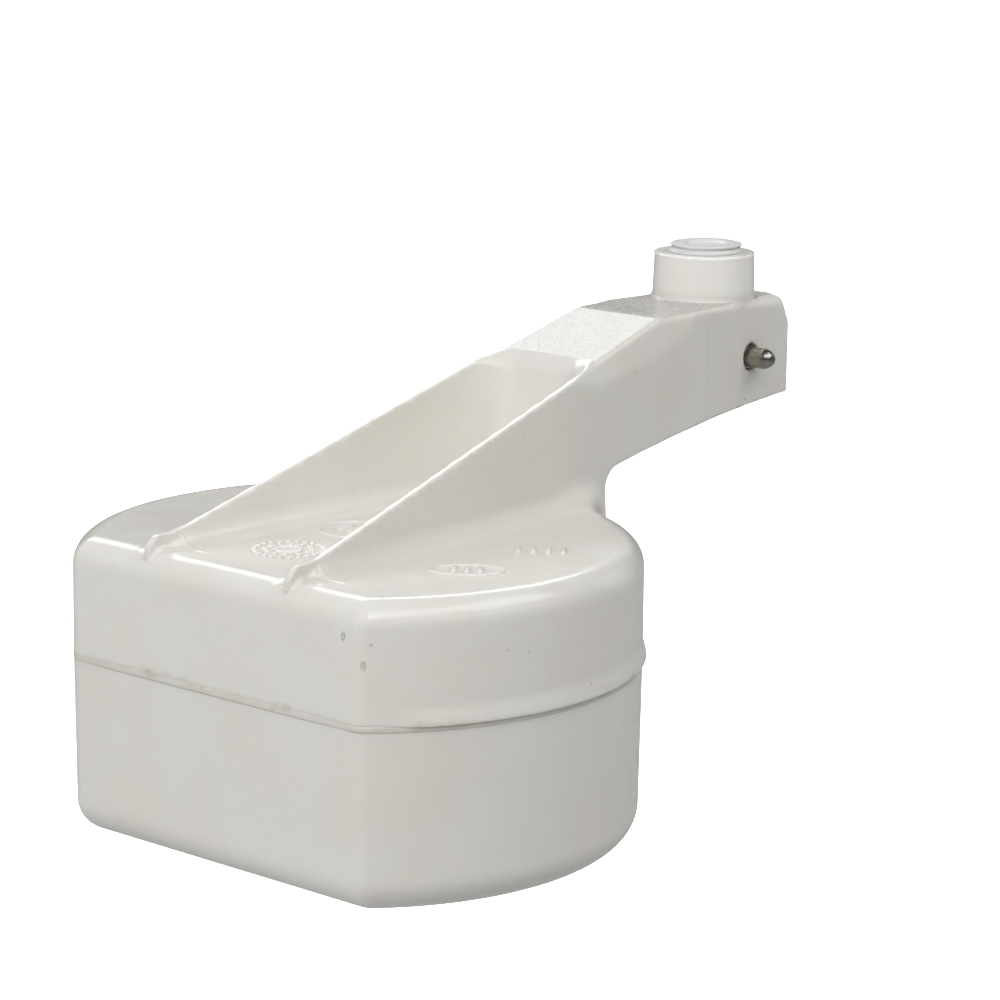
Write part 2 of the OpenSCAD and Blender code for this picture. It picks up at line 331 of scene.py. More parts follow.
def cell_points(solid, lines, found):
    """One point for each grid cell that the surface passes, where its tangent planes meet."""
    size = [len(v) - 1 for v in lines]
    total = size[0] * size[1] * size[2]
    cells = []
    planes = []
    for axis, (idx, _, p) in enumerate(found):
        n = gradient(solid, p)
        for d0 in (0, -1):
            for d1 in (0, -1):
                cell = idx.copy()
                cell[:, (axis + 1) % 3] += d0
                cell[:, (axis + 2) % 3] += d1
                cells.append(np.ravel_multi_index(cell.T, size))
                planes.append(np.hstack([n, p]))
    cells = np.concatenate(cells)
    planes = np.concatenate(planes)
    used, slot = np.unique(cells, return_inverse=True)
    count = np.bincount(slot)
    n, p = planes[:, :3], planes[:, 3:]

    def gather(v):
        """Sum of v over each used cell."""
        return np.bincount(slot, weights=v, minlength=len(used))

    middle = np.stack([gather(p[:, k]) for k in range(3)], axis=1) / count[:, None]
    away = np.einsum("ij,ij->i", n, p - middle[slot])
    left = np.empty((len(used), 3, 3))
    right = np.empty((len(used), 3))
    for i in range(3):
        right[:, i] = gather(n[:, i] * away)
        for j in range(3):
            left[:, i, j] = gather(n[:, i] * n[:, j])
    left += 0.05 * count[:, None, None] * np.eye(3)
    points = middle + np.linalg.solve(left, right[:, :, None])[:, :, 0]
    corner = np.unravel_index(used, size)
    low = np.stack([lines[k][corner[k]] for k in range(3)], axis=1)
    high = np.stack([lines[k][corner[k] + 1] for k in range(3)], axis=1)
    points = np.clip(points, low, high)
    normal = gradient(solid, points)
    off = np.clip(solid(*points.T), -0.1, 0.1)
    points = points - normal * off[:, None]
    lookup = np.full(total, -1)
    lookup[used] = np.arange(len(used))
    return points, lookup, size


def surface(solid, lines):
    """Points, normals and four-sided faces of a solid's surface, by dual contouring on a grid."""
    lx, ly, lz = [v.astype(np.float32) for v in lines]
    values = solid(lx[:, None, None], ly[None, :, None], lz[None, None, :])
    values = np.ascontiguousarray(values, dtype=np.float32)
    found = [crossings(solid, values, lines, axis) for axis in range(3)]
    points, lookup, size = cell_points(solid, lines, found)
    faces = []
    for axis, (idx, leaving, _) in enumerate(found):
        ring = []
        for d0, d1 in ((0, 0), (-1, 0), (-1, -1), (0, -1)):
            cell = idx.copy()
            cell[:, (axis + 1) % 3] += d0
            cell[:, (axis + 2) % 3] += d1
            ring.append(lookup[np.ravel_multi_index(cell.T, size)])
        quad = np.stack(ring, axis=1)
        quad[~leaving] = quad[~leaving][:, ::-1]
        faces.append(quad)
    return points, gradient(solid, points), np.concatenate(faces)


def make_object(name, points, faces, body, cad_node, normals=None):
    """A piece from points in millimetres. It rides on a body and stands for a CAD node."""
    mesh = bpy.data.meshes.new(name)
    points = np.asarray(points, float) * MM
    mesh.from_pydata(points.tolist(), [], [list(map(int, f)) for f in faces])
    mesh.shade_smooth()
    if normals is not None:
        mesh.normals_split_custom_set_from_vertices(normals.tolist())
    piece = bpy.data.objects.new(name, mesh)
    bpy.context.scene.collection.objects.link(piece)
    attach(piece, body)
    if cad_node:
        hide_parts(cad_node)
    return piece


def add_measure(piece, name, values):
    """Stores one number for each point of a piece, for its material to read."""
    attribute = piece.data.attributes.new(name, "FLOAT", "POINT")
    attribute.data.foreach_set("value", np.asarray(values, np.float32))


def loft_faces(rows, around, closed):
    """Faces between rings of points that have the same number of points."""
    faces = []
    for i in range(rows if closed else rows - 1):
        j = (i + 1) % rows
        for k in range(around):
            m = (k + 1) % around
            faces.append((i * around + k, i * around + m, j * around + m, j * around + k))
    return faces


def capped_faces(rows, around):
    """Faces between rings of points, with the first and last ring closed."""
    faces = loft_faces(rows, around, False)
    faces.append(tuple(range(around - 1, -1, -1)))
    last = (rows - 1) * around
    faces.append(tuple(range(last, last + around)))
    return faces


# ---------------------------------------------------------------- materials

def srgb(r, g, b):
    """A colour given as 0-255 screen values, turned into the linear values that a shader takes."""
    out = []
    for v in (r, g, b):
        v = v / 255
        out.append(v / 12.92 if v <= 0.04045 else ((v + 0.055) / 1.055) ** 2.4)
    return (*out, 1.0)


class Nodes:
    """Short calls for building a material's node tree."""

    def __init__(self, name):
        """A new material; place is the point being shaded, in metres in the CAD frame."""
        self.material = bpy.data.materials.new(name)
        self.material.use_nodes = True
        self.tree = self.material.node_tree
        self.shader = self.tree.nodes["Principled BSDF"]
        self.place = self.tree.nodes.new("ShaderNodeTexCoord").outputs["Object"]

    def link(self, value, socket):
        """Joins a node's output, or sets a plain value."""
        if isinstance(value, bpy.types.NodeSocket):
            self.tree.links.new(value, socket)
        else:
            socket.default_value = value

    def math(self, operation, a, b=0.0):
        """One step of arithmetic."""
        node = self.tree.nodes.new("ShaderNodeMath")
        node.operation = operation
        self.link(a, node.inputs[0])
        self.link(b, node.inputs[1])
        return node.outputs[0]

    def vector(self, operation, a, b, output="Vector"):
        """One step of vector arithmetic."""
        node = self.tree.nodes.new("ShaderNodeVectorMath")
        node.operation = operation
        self.link(a, node.inputs[0])
        self.link(b, node.inputs[1])
        return node.outputs[output]

    def along(self, axis):
        """The shaded point's x, y or z."""
        split = self.tree.nodes.new("ShaderNodeSeparateXYZ")
        self.link(self.place, split.inputs[0])
        return split.outputs[axis]

    def noise(self, scale, detail=3.0, rough=0.5, place=None, distortion=0.0):
        """Fractal noise, mostly 0.3 to 0.7."""
        node = self.tree.nodes.new("ShaderNodeTexNoise")
        self.link(place or self.place, node.inputs["Vector"])
        node.inputs["Scale"].default_value = scale
        node.inputs["Detail"].default_value = detail
        node.inputs["Roughness"].default_value = rough
        node.inputs["Distortion"].default_value = distortion
        return node.outputs["Fac"]

    def spots(self, scale, size, share):
        """Round specks of a given size in metres, in a share of the cells of a random pattern."""
        node = self.tree.nodes.new("ShaderNodeTexVoronoi")
        self.link(self.place, node.inputs["Vector"])
        node.inputs["Scale"].default_value = scale
        near = self.math("LESS_THAN", node.outputs["Distance"], size * scale)
        pick = self.tree.nodes.new("ShaderNodeSeparateColor")
        self.link(node.outputs["Color"], pick.inputs[0])
        chosen = self.math("LESS_THAN", pick.outputs[0], share)
        return self.math("MULTIPLY", near, chosen)

    def band(self, value, low, high, out_low=0.0, out_high=1.0):
        """Maps low..high to out_low..out_high, smooth and held at the ends."""
        node = self.tree.nodes.new("ShaderNodeMapRange")
        node.interpolation_type = "SMOOTHSTEP"
        self.link(value, node.inputs["Value"])
        node.inputs["From Min"].default_value = low
        node.inputs["From Max"].default_value = high
        node.inputs["To Min"].default_value = out_low
        node.inputs["To Max"].default_value = out_high
        return node.outputs["Result"]

    def mix(self, factor, a, b):
        """Colour a at factor 0, colour b at 1."""
        node = self.tree.nodes.new("ShaderNodeMix")
        node.data_type = "RGBA"
        self.link(factor, node.inputs["Factor"])
        self.link(a, node.inputs["A"])
        self.link(b, node.inputs["B"])
        return node.outputs["Result"]

    def measure(self, name):
        """A number stored on the mesh by add_measure."""
        node = self.tree.nodes.new("ShaderNodeAttribute")
        node.attribute_name = name
        return node.outputs["Fac"]

    def bump(self, height, strength, distance, before=None):
        """A normal tilted by a height pattern, on top of an earlier normal."""
        node = self.tree.nodes.new("ShaderNodeBump")
        node.inputs["Strength"].default_value = strength
        node.inputs["Distance"].default_value = distance
        self.link(height, node.inputs["Height"])
        if before:
            self.link(before, node.inputs["Normal"])
        return node.outputs["Normal"]

    def ellipsoid(self, centre, reach):
        """1 at a place's middle, 0 beyond its reach, both in millimetres."""
        away = self.vector("SUBTRACT", self.place, tuple(v * MM for v in centre))
        away = self.vector("DIVIDE", away, tuple(v * MM for v in reach))
        length = self.vector("LENGTH", away, (0, 0, 0), "Value")
        return self.band(length, 0.6, 1.0, 1.0, 0.0)


PLASTIC = srgb(228, 226, 221)
PLASTIC_WARM = srgb(226, 223, 216)
DIRT = srgb(96, 92, 84)
SEAM_BROWN = srgb(178, 165, 142)

# Dark specks and scratches left by handling: place and reach in millimetres
MARKS = [
    ((-36.3, -34.4, 43.0), (0.7, 0.7, 1.1)),
    ((-35.4, -35.4, 46.5), (0.4, 0.4, 0.35)),
    ((-36.8, -30.4, 47.4), (0.7, 0.7, 1.0)),
    ((-36.8, -2.8, 49.4), (0.35, 0.1, 1.2)),
    ((-36.6, -20.4, 51.4), (0.5, 0.35, 0.35)),
    ((-15.5, -47.6, 44.0), (0.3, 0.3, 0.25)),
    ((-11.5, -48.7, 43.2), (0.3, 0.3, 0.2)),
    ((3.1, -50.2, 35.0), (0.35, 0.6, 0.2)),
    ((12.7, -48.4, 10.8), (0.3, 0.4, 0.5)),
    ((7.4, -49.5, 4.8), (0.9, 0.6, 0.16)),
    ((27.7, -13.9, 69.3), (0.3, 0.4, 0.25)),
    ((62.3, -12.0, 75.8), (0.3, 0.4, 0.25)),
]


def plastic(name, tone=PLASTIC, cloud_tone=PLASTIC_WARM, seam_band=True):
    """Off-white moulded plastic: uneven tone, ripple, fine haze, specks and hairline scratches."""
    n = Nodes(name)
    cloud = n.band(n.noise(38.0, 4.0, 0.55), 0.35, 0.65)
    colour = n.mix(cloud, tone, cloud_tone)
    fine = n.band(n.noise(900.0, 3.0, 0.6), 0.3, 0.7)
    colour = n.mix(n.math("MULTIPLY", fine, 0.05), colour, srgb(190, 186, 178))
    specks = n.math("MULTIPLY", n.spots(95.0, 0.00022, 0.16), 0.55)
    colour = n.mix(specks, colour, DIRT)
    grime = n.spots(260.0, 0.00018, 0.10)
    patchy = n.band(n.noise(55.0, 2.0), 0.5, 0.62)
    colour = n.mix(n.math("MULTIPLY", grime, n.math("MULTIPLY", patchy, 0.5)), colour, DIRT)
    marks = None
    for centre, reach in MARKS:
        mark = n.ellipsoid(centre, reach)
        marks = mark if marks is None else n.math("MAXIMUM", marks, mark)
    ragged = n.band(n.noise(5600.0, 4.0, 0.8), 0.4, 0.62)
    colour = n.mix(n.math("MULTIPLY", marks, n.math("MULTIPLY", ragged, 0.7)), colour, DIRT)
    # A narrow band along the seam is darkened in brownish blotches.
    if seam_band:
        away = n.math("ABSOLUTE", n.math("SUBTRACT", n.along(2), (seam_z + 0.3) * MM))
        close = n.band(away, 0.0001, 0.0014, 1.0, 0.0)
        blotch = n.band(n.noise(150.0, 4.0, 0.6), 0.5, 0.72)
        colour = n.mix(n.math("MULTIPLY", close, n.math("MULTIPLY", blotch, 0.4)), colour, SEAM_BROWN)
    n.link(colour, n.shader.inputs["Base Color"])
    haze = n.band(n.noise(160.0, 4.0, 0.6), 0.3, 0.7, 0.17, 0.25)
    n.link(haze, n.shader.inputs["Roughness"])
    ripple = n.bump(n.noise(42.0, 2.0), 0.35, 0.0012)
    peel = n.bump(n.noise(1300.0, 2.0), 0.12, 0.00006, ripple)
    streak_place = n.vector("MULTIPLY", n.place, (160.0, 900.0, 5200.0))
    streaks = n.band(n.noise(1.0, 2.0, place=streak_place), 0.66, 0.72)
    scratched = n.bump(n.math("MULTIPLY", streaks, -1.0), 0.10, 0.00003, peel)
    n.link(scratched, n.shader.inputs["Normal"])
    n.shader.inputs["IOR"].default_value = 1.5
    n.shader.inputs["Subsurface Weight"].default_value = 0.25
    n.shader.inputs["Subsurface Radius"].default_value = (0.0022, 0.002, 0.0017)
    n.shader.inputs["Subsurface Scale"].default_value = 1.0
    return n


def shell_plastic():
    """Shell plastic: slope grain with painted sheen, scratched flat top with painted shade, boss
    painted lighter.
    """
    n = plastic("shell_plastic")
    base = n.shader.inputs["Base Color"].links[0].from_socket
    rough = n.shader.inputs["Roughness"].links[0].from_socket
    normal = n.shader.inputs["Normal"].links[0].from_socket
    on_slope = n.band(n.measure("slope_inside"), 0.0, 0.25)
    on_top = n.band(n.measure("top_inside"), 0.0, 0.4)
    # On the slope the base colour is near white in flecks: frosted grain, and a painted sheen for the
    # light it catches.
    grain = n.noise(2600.0, 4.0, 0.75)
    flecks = n.band(grain, 0.42, 0.62)
    grain_and_painted_sheen = n.mix(flecks, srgb(254, 253, 251), srgb(230, 227, 222))
    colour = n.mix(on_slope, base, grain_and_painted_sheen)
    # The flat top gets streaky scrapes and a darker tone, which is partly painted shade.
    scrape_place = n.vector("MULTIPLY", n.place, (900.0, 5200.0, 900.0))
    scrapes = n.band(n.noise(1.0, 5.0, 0.7, scrape_place, 1.5), 0.45, 0.7)
    scrapes_and_painted_shade = n.mix(scrapes, srgb(170, 167, 162), srgb(206, 203, 197))
    colour = n.mix(n.math("MULTIPLY", on_top, 0.7), colour, scrapes_and_painted_shade)
    # Everything above the block's top, which is the boss, is painted lighter: painted light.
    painted_light_on_boss = n.band(n.along(2), (block_z + 0.4) * MM, (block_z + 2.5) * MM)
    colour = n.mix(n.math("MULTIPLY", painted_light_on_boss, 0.8), colour, srgb(244, 242, 237))
    n.link(colour, n.shader.inputs["Base Color"])
    rougher = n.math("MULTIPLY", on_slope, 0.3)
    scraped = n.math("MULTIPLY", on_top, n.band(scrapes, 0.0, 1.0, 0.0, 0.12))
    rougher = n.math("ADD", rougher, scraped)
    n.link(n.math("ADD", rough, rougher), n.shader.inputs["Roughness"])
    grain_bump = n.bump(n.math("MULTIPLY", grain, on_slope), 0.7, 0.0003, normal)
    scrape_bump = n.bump(n.math("MULTIPLY", scrapes, on_top), 0.35, 0.00008, grain_bump)
    n.link(scrape_bump, n.shader.inputs["Normal"])
    return n.material


def seal_rubber():
    """Milky silicone with a faint bloom."""
    n = Nodes("seal_silicone")
    cloud = n.band(n.noise(260.0, 4.0, 0.6), 0.3, 0.7)
    n.link(n.mix(cloud, srgb(222, 223, 222), srgb(217, 218, 217)), n.shader.inputs["Base Color"])
    n.link(n.band(n.noise(700.0, 3.0), 0.3, 0.7, 0.34, 0.4), n.shader.inputs["Roughness"])
    n.shader.inputs["IOR"].default_value = 1.42
    return n.material


def pin_steel():
    """Drawn stainless rod: fine lines along it and plainer turned ends."""
    n = Nodes("pin_steel")
    drawn_place = n.vector("MULTIPLY", n.place, (3000.0, 160.0, 3000.0))
    drawn = n.noise(1.0, 4.0, 0.6, drawn_place)
    colour = n.mix(n.band(drawn, 0.3, 0.7), srgb(176, 170, 160), srgb(146, 140, 131))
    end = n.band(n.math("ABSOLUTE", n.along(1)), 0.0129, 0.0133)
    colour = n.mix(end, colour, srgb(150, 148, 144))
    n.link(colour, n.shader.inputs["Base Color"])
    n.shader.inputs["Metallic"].default_value = 1.0
    dull = n.band(drawn, 0.3, 0.7, 0.24, 0.36)
    n.link(dull, n.shader.inputs["Roughness"])
    n.link(n.bump(drawn, 0.2, 0.00005), n.shader.inputs["Normal"])
    return n.material


# ---------------------------------------------------------------- pieces

def make_upper_shell():
    """The upper moulding, meshed on a grid that is finer at the wings, the edges and the seam."""
    along_x = steps(
        (-38.0, 0.45), (-29.4, 0.17), (-27.2, 1.1), (42.0, 0.5), (58.0, 0.8), (84.0, 0.42), (116.0, 1)
    )
    along_y = steps(
        (-51.6, 1.2), (-17.3, 0.3), (-11.6, 0.5), (-8.5, 0.8),
        (8.5, 0.5), (11.6, 0.3), (17.3, 1.2), (51.6, 1),
    )
    along_z = steps((31.8, 0.4), (37.0, 1.0), (48.0, 0.4), (57.6, 0.6), (74.0, 0.5), (95.0, 1))
    points, normals, faces = surface(upper_shell, [along_x, along_y, along_z])
    piece = make_object("upper_moulding", points, faces, "float", "upper_shell", normals)
    x, y, z = points.T
    inside = half_w(x) - 0.8 - np.abs(y)
    on_slope = 1.0 - np.abs(z - slope_z(x)) * 4
    slope_inside = np.minimum.reduce([x - 51.4, slope_end_x + 0.2 - x, inside, on_slope])
    top_inside = np.minimum.reduce([x - slope_end_x, inside + 0.4, 1.0 - np.abs(z - block_z) * 4])
    add_measure(piece, "slope_inside", slope_inside)
    add_measure(piece, "top_inside", top_inside)
    piece.data.materials.append(shell_plastic())


def outline(r, f, c, bow=0.0):
    """Points round the float's outline, the same number for every size. bow sinks the flat side."""
    cx = -(f - c)
    cy = math.sqrt((r - c) ** 2 - cx**2)
    turn = math.atan2(cy, cx)
    points = []
    for t in np.linspace(-turn, turn, 220):
        points.append((r * math.cos(t), r * math.sin(t)))
    for t in np.linspace(turn, math.pi, 12)[1:]:
        points.append((cx + c * math.cos(t), cy + c * math.sin(t)))
    for y in np.linspace(cy, -cy, 50)[1:-1]:
        points.append((-f + bow * (1 - (y / cy) ** 2), y))
    for t in np.linspace(-math.pi, -turn, 12)[:-1]:
        points.append((cx + c * math.cos(t), -cy + c * math.sin(t)))
    return np.array(points)


def ring_at(z, inset, c, bow=0.0):
    """The float's outline at one height, moved in by inset."""
    flat = outline(body_r - inset, flat_x - inset, c, bow)
    return np.column_stack([flat, np.full(len(flat), z)])


def make_lower_shell():
    """The pan: outside from the centre of its foot up to the rim, then down the inside."""
    rings = []
    foot = ring_at(0.0, bottom_round, 2.0)
    centre = np.array([4.0, 0.0, 0.0])
    for share in (0.02, 0.2, 0.4, 0.6, 0.8, 0.93):
        rings.append(centre + (foot - centre) * share)
    lean = draft_low * (seam_z - bottom_round)
    for t in np.linspace(0, math.pi / 2, 14):
        inset = lean + bottom_round * (1 - math.sin(t))
        c = 2.0 + (corner_r - 2.0) * math.sin(t)
        rings.append(ring_at(bottom_round * (1 - math.cos(t)), inset, c))
    top = seam_z - 0.8
    for z in np.linspace(bottom_round, top, 22)[1:]:
        sink = float(front_hollow(0.0, z)) * float(fade(top - z, -4, 3))
        rings.append(ring_at(z, draft_low * (seam_z - z), corner_r, sink))
    rings.append(ring_at(top, 0.6, corner_r))
    rings.append(ring_at(seam_z, 0.6, corner_r))
    rings.append(ring_at(seam_z, wall_t + 0.1, 2.2))
    rings.append(ring_at(seam_z + 2.0, wall_t + 0.1, 2.2))
    rings.append(ring_at(seam_z + 2.0, wall_t + 1.2, 1.6))
    rings.append(ring_at(seam_z - 1.8, wall_t + 1.2, 1.6))
    rings.append(ring_at(seam_z - 3.0, wall_t, 2.2))
    rings.append(ring_at(bottom_round, wall_t + lean, 2.0))
    inner = bottom_round - wall_t
    for t in np.linspace(0, math.pi / 2, 8)[1:]:
        inset = wall_t + lean + inner * (1 - math.cos(t))
        rings.append(ring_at(bottom_round - inner * math.sin(t), inset, 2.0))
    floor_ring = rings[-1]
    middle = np.array([4.0, 0.0, wall_t])
    for share in (0.7, 0.35, 0.02):
        rings.append(middle + (floor_ring - middle) * share)
    faces = capped_faces(len(rings), len(floor_ring))
    piece = make_object("lower_pan", np.vstack(rings), faces, "float", "lower_shell")
    piece.data.set_sharp_from_angle(angle=math.radians(40))
    n = plastic("pan_plastic", srgb(227, 225, 220), srgb(225, 222, 215))
    piece.data.materials.append(n.material)


def wander(t, seed):
    """A smooth random-looking value from -1 to 1 along a closed line, t from 0 to 1."""
    total = np.zeros_like(t)
    rng = np.random.default_rng(seed)
    for waves in (3, 7, 13, 29, 47):
        total += np.sin(2 * math.pi * (waves * t + rng.random())) / math.sqrt(waves)
    return total / 1.4


def make_weld_bead():
    """The squeezed-out line of plastic: uneven all round, thicker at the near corner."""
    base = outline(body_r, flat_x, corner_r)
    around = len(base)
    t = np.arange(around) / around
    ahead = np.roll(base, -1, axis=0) - np.roll(base, 1, axis=0)
    out = np.column_stack([ahead[:, 1], -ahead[:, 0]])
    out /= np.linalg.norm(out, axis=1, keepdims=True)
    curved = fade(base[:, 0], -flat_x + 0.5, -flat_x + 3.0)
    proud = np.clip(0.03 + 0.07 * curved + 0.04 * wander(t, 3), 0.01, 0.2)
    corner = np.hypot(base[:, 0] + flat_x - 0.6, base[:, 1] + 33.8)
    proud = proud + 0.25 * np.exp(-((corner / 1.6) ** 2))
    profile = [
        (-0.6, -0.95, 0.0), (-0.05, -0.95, 0.0), (0.0, -0.7, 0.6), (0.0, -0.35, 1.0),
        (0.0, 0.05, 0.8), (-0.1, 0.4, 0.0), (-0.6, 0.4, 0.0),
    ]
    rings = []
    for inset, height, share in profile:
        flat = base + out * (inset + proud * share)[:, None]
        rings.append(np.column_stack([flat, seam_z + height + 0.06 * share * wander(t, 11)]))
    faces = loft_faces(len(rings), around, True)
    piece = make_object("weld_bead", np.vstack(rings), faces, "float", "weld_flash")
    n = plastic("bead_plastic", srgb(222, 219, 212), srgb(214, 209, 198))
    piece.data.materials.append(n.material)


def lathe(profile, count, place):
    """Rings of points from (radius, height) pairs turned round a line; place maps them to space."""
    rings = []
    turn = np.linspace(0, 2 * math.pi, count, endpoint=False)
    for radius, height in profile:
        rings.append(place(radius * np.cos(turn), radius * np.sin(turn), np.full(count, height)))
    return rings


def rounded(points, r, count=5):
    """A profile with its corners rounded; the first and last points stay."""
    out = [points[0]]
    for a, b, c in zip(points, points[1:], points[2:]):
        a, b, c = np.array(a), np.array(b), np.array(c)
        before, after = a - b, c - b
        reach = min(r, np.linalg.norm(before) / 2.2, np.linalg.norm(after) / 2.2)
        p = b + before / np.linalg.norm(before) * reach
        q = b + after / np.linalg.norm(after) * reach
        for t in np.linspace(0, 1, count):
            out.append(tuple((1 - t) ** 2 * p + 2 * t * (1 - t) * b + t * t * q))
    out.append(points[-1])
    return out


def make_seal():
    """Stem, collar, neck and thin top disc with a shallow dish; the disc sits a little off centre."""
    top = seal_high[2]
    profile = [
        (0.02, boss_z - 5.5), (stem_r, boss_z - 5.5),
        (stem_r, boss_z - collar_depth), (collar_r, boss_z - collar_depth), (collar_r, boss_z + 0.02),
        (seal_r - 0.05, boss_z + 0.02), (seal_r - 0.05, boss_z + 0.45),
        (6.35, top - 0.62), (disc_r, top - 0.42), (disc_r, top - 0.06),
        (4.3, top - 0.06), (3.7, top - 0.4), (0.02, top - 0.42),
    ]

    def place(px, py, pz):
        """Upright on the boss; the disc leans and sits aside a little."""
        shift = fade(pz, boss_z + 0.2, top - 0.5)
        x = boss_x + px + 0.22 * shift
        y = py - 0.28 * shift
        z = np.minimum(pz + 0.004 * px * shift, top)
        return np.column_stack([x, y, z])

    around = 128
    rings = lathe(rounded(profile, 0.22), around, place)
    faces = capped_faces(len(rings), around)
    piece = make_object("seal_plug", np.vstack(rings), faces, "float", "valve_seal")
    piece.data.set_sharp_from_angle(angle=math.radians(50))
    piece.data.materials.append(seal_rubber())


def make_pin():
    """Rod with a thicker middle and turned, domed ends."""
    half = [(pin_mid_r, 0.0), (pin_mid_r, shoulder_y)]
    half += [(pin_r, shoulder_y + 0.05), (pin_r, pin_reach - 1.95)]
    for t in np.linspace(0, 1, 12):
        half.append((pin_r * 0.97 - 0.95 * t**1.8, pin_reach - 1.9 + 1.75 * t))
    half += [(0.7, pin_reach - 0.04), (0.35, pin_reach - 0.005), (0.02, pin_reach)]
    profile = [(r, -h) for r, h in reversed(half)] + half[1:]

    def place(px, py, pz):
        """Lying along the hinge line; this mirrors the rod, so the faces are reversed below."""
        return np.column_stack([pin_x + px, pz, pin_z + py])

    around = 64
    rings = lathe(profile, around, place)
    faces = [tuple(reversed(f)) for f in capped_faces(len(rings), around)]
    piece = make_object("pin_rod", np.vstack(rings), faces, "pin", "hinge_pin")
    piece.data.set_sharp_from_angle(angle=math.radians(35))
    piece.data.materials.append(pin_steel())


# ---------------------------------------------------------------- raised mould marks

def ridge(path, width, height, base_z, closed=False):
    """A low rounded ridge that follows a flat path; returns its points and faces."""
    path = np.asarray(path, float)
    if closed:
        ahead = np.roll(path, -1, axis=0) - np.roll(path, 1, axis=0)
    else:
        ahead = np.gradient(path, axis=0)
    side = np.column_stack([-ahead[:, 1], ahead[:, 0]])
    side /= np.linalg.norm(side, axis=1, keepdims=True)
    shoulder = 0.7 * height
    section = [(-0.5, -0.12), (-0.36, shoulder), (0.0, height), (0.36, shoulder), (0.5, -0.12)]
    points = []
    for p, s in zip(path, side):
        for across, up in section:
            points.append((*(p + s * across * width), base_z + up))
    count = len(section)
    faces = []
    for i in range(len(path) if closed else len(path) - 1):
        j = (i + 1) % len(path)
        for k in range(count):
            m = (k + 1) % count
            faces.append((i * count + k, j * count + k, j * count + m, i * count + m))
    if not closed:
        faces.append(tuple(range(count)))
        faces.append(tuple(range(len(points) - 1, len(points) - 1 - count, -1)))
    return points, faces


def arc(cx, cy, r, start, end, count):
    """Points along a circle between two angles in degrees."""
    turn = np.radians(np.linspace(start, end, count))
    return np.column_stack([cx + r * np.cos(turn), cy + r * np.sin(turn)])


def make_mark(name, ridges):
    """One raised mark from several ridges."""
    points, faces = [], []
    for path, width, height, closed in ridges:
        p, f = ridge(path, width, height, body_h - 0.01, closed)
        faces += [tuple(v + len(points) for v in face) for face in f]
        points += p
    piece = make_object(name, points, faces, "float", None)
    piece.data.materials.append(bpy.data.materials["mark_plastic_painted_glint"])


def spokes(cx, cy, count, turn, inner, outer, width, height):
    """Short ridges that point away from a centre, evenly spread; turn is the first one's angle."""
    out = []
    for k in range(count):
        a = math.radians(360 / count * k + turn)
        start = np.array([cx + inner * math.cos(a), cy + inner * math.sin(a)])
        end = np.array([cx + outer * math.cos(a), cy + outer * math.sin(a)])
        out.append((np.linspace(start, end, 4), width, height, False))
    return out


def bars(start, ahead, across, places):
    """Parallel bars that cross a line at the given distances from its start."""
    out = []
    for s in places:
        middle = start + ahead * s
        out.append((np.linspace(middle - across * 2.0, middle + across * 2.0, 5), 1.1, 0.4, False))
    return out


def make_marks():
    """Plain generic relief on the float's top: a toothed dial, a ring, an oval and four bars."""
    # The marks are the shell's plastic painted lighter: a painted glint on the raised relief.
    plastic("mark_plastic_painted_glint", srgb(244, 242, 238), srgb(238, 236, 231), seam_band=False)
    cx, cy = -17.4, 0.5
    dial = spokes(cx, cy, 24, 0, 5.5, 6.5, 1.0, 0.42)
    dial += spokes(cx, cy, 12, 7, 3.4, 4.6, 0.7, 0.4)
    dial.append((arc(cx, cy, 2.2, 0, 345, 24), 0.7, 0.38, True))
    make_mark("mould_dial", dial)
    ring = [(arc(2.0, 3.0, 6.3, 0, 355, 72), 0.6, 0.26, True)]
    for y in (1.0, 3.0, 5.0):
        ring.append((np.linspace([0.0, y], [4.0, y], 5), 0.7, 0.26, False))
    make_mark("mould_ring", ring)
    ahead = np.array([0.62, -0.785])
    across = np.array([0.785, 0.62])
    middle = np.array([-7.5, -31.5])
    oval = []
    for t in np.linspace(0, 6.1, 48):
        oval.append(middle + ahead * 6.2 * math.cos(t) + across * 3.6 * math.sin(t))
    make_mark("mould_oval", [(oval, 0.6, 0.26, True)] + bars(middle, ahead, across, (-2.2, 0.0, 2.2)))
    make_mark("mould_bars", bars(np.array([9.4, -28.4]), ahead, across, (0.0, 2.6, 5.2, 7.8)))


# ---------------------------------------------------------------- camera, light and floor

def direction(azimuth, elevation):
    """Unit vector toward an azimuth and elevation in radians."""
    flat = math.cos(elevation)
    return np.array([flat * math.cos(azimuth), flat * math.sin(azimuth), math.sin(elevation)])


def placed(right, up, back, place):
    """The matrix of a camera or light with these axes at a place."""
    matrix = np.eye(4)
    matrix[:3, 0] = right
    matrix[:3, 1] = up
    matrix[:3, 2] = back
    matrix[:3, 3] = place
    return Matrix(matrix.tolist())


def make_camera():
    """The camera: looking a little down on the flat front and the round near side."""
    heading, tilt, roll = math.radians(40.347), math.radians(12.373), math.radians(0.727)
    ahead = direction(heading, -tilt)
    level = np.array([math.sin(heading), -math.cos(heading), 0.0])
    above = np.cross(level, ahead)
    right = level * math.cos(roll) + above * math.sin(roll)
    up = above * math.cos(roll) - level * math.sin(roll)
    camera = bpy.data.objects.new("camera", bpy.data.cameras.new("camera"))
    camera.matrix_world = placed(right, up, -ahead, (-0.42913, -0.39669, 0.18793))
    camera.data.sensor_width = 36
    camera.data.lens = 123.19
    camera.data.clip_start = 0.01
    bpy.context.scene.collection.objects.link(camera)
    bpy.context.scene.camera = camera


